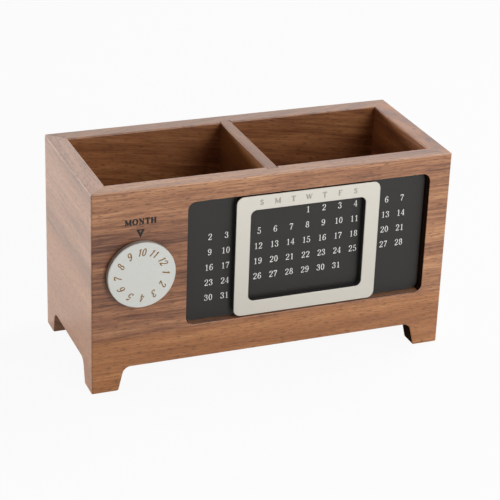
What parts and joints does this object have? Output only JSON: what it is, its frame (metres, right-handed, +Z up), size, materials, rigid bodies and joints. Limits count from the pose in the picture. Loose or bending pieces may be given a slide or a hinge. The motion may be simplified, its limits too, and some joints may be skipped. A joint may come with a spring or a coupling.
{
  "type": "desk organizer box with perpetual calendar",
  "caption": "Open-topped wooden desk box on four feet with a divider, a black date plate under a sliding metal frame, and a round month dial on the front.",
  "frame": {"origin": "on the floor, below the middle of the bounding box of the whole part, dial included", "axes": "+X to the right of someone facing the calendar, along the length; +Y from the calendar front to the back; +Z up"},
  "size_m": [0.17, 0.0772, 0.096],
  "materials": {
    "walnut": "oiled walnut, satin, with straight grain",
    "adhesive": "double-sided adhesive film",
    "black_plate": "matt black coating on steel sheet, with white printed dates",
    "satin_metal": "fine satin, bevelled edges",
    "magnet": "matt black magnetic rubber",
    "dial_enamel": "off-white satin enamel with bronze-coloured printed numerals",
    "nylon": "natural nylon",
    "steel": "zinc-plated steel",
    "white_print": "white screen-printed ink",
    "bronze_print": "bronze-coloured screen-printed ink",
    "burnt_mark": "laser-burnt lettering in the wood"
  },
  "bodies": {
    "case": {"front_board": "walnut", "back_board": "walnut", "left_side_board": "walnut", "right_side_board": "walnut", "divider": "walnut", "bottom_board": "walnut", "plate_adhesive": "adhesive", "calendar_plate": "black_plate"},
    "slider": {"slider_frame": "satin_metal", "slider_magnet": "magnet"},
    "dial": {"month_dial": "dial_enamel", "dial_slip_washer": "nylon", "dial_retaining_washer": "steel", "dial_screw": "steel"}
  },
  "joints": [
    {"name": "slider_slide", "type": "slide", "parent": "case", "child": "slider", "axis": [1, 0, 0], "range_m": [-0.02212, 0.02426]},
    {"name": "dial_turn", "type": "hinge", "parent": "case", "child": "dial", "pos_m": [-0.0631, -0.03545, 0.057], "axis": [0, -1, 0], "continuous": true}
  ]
}
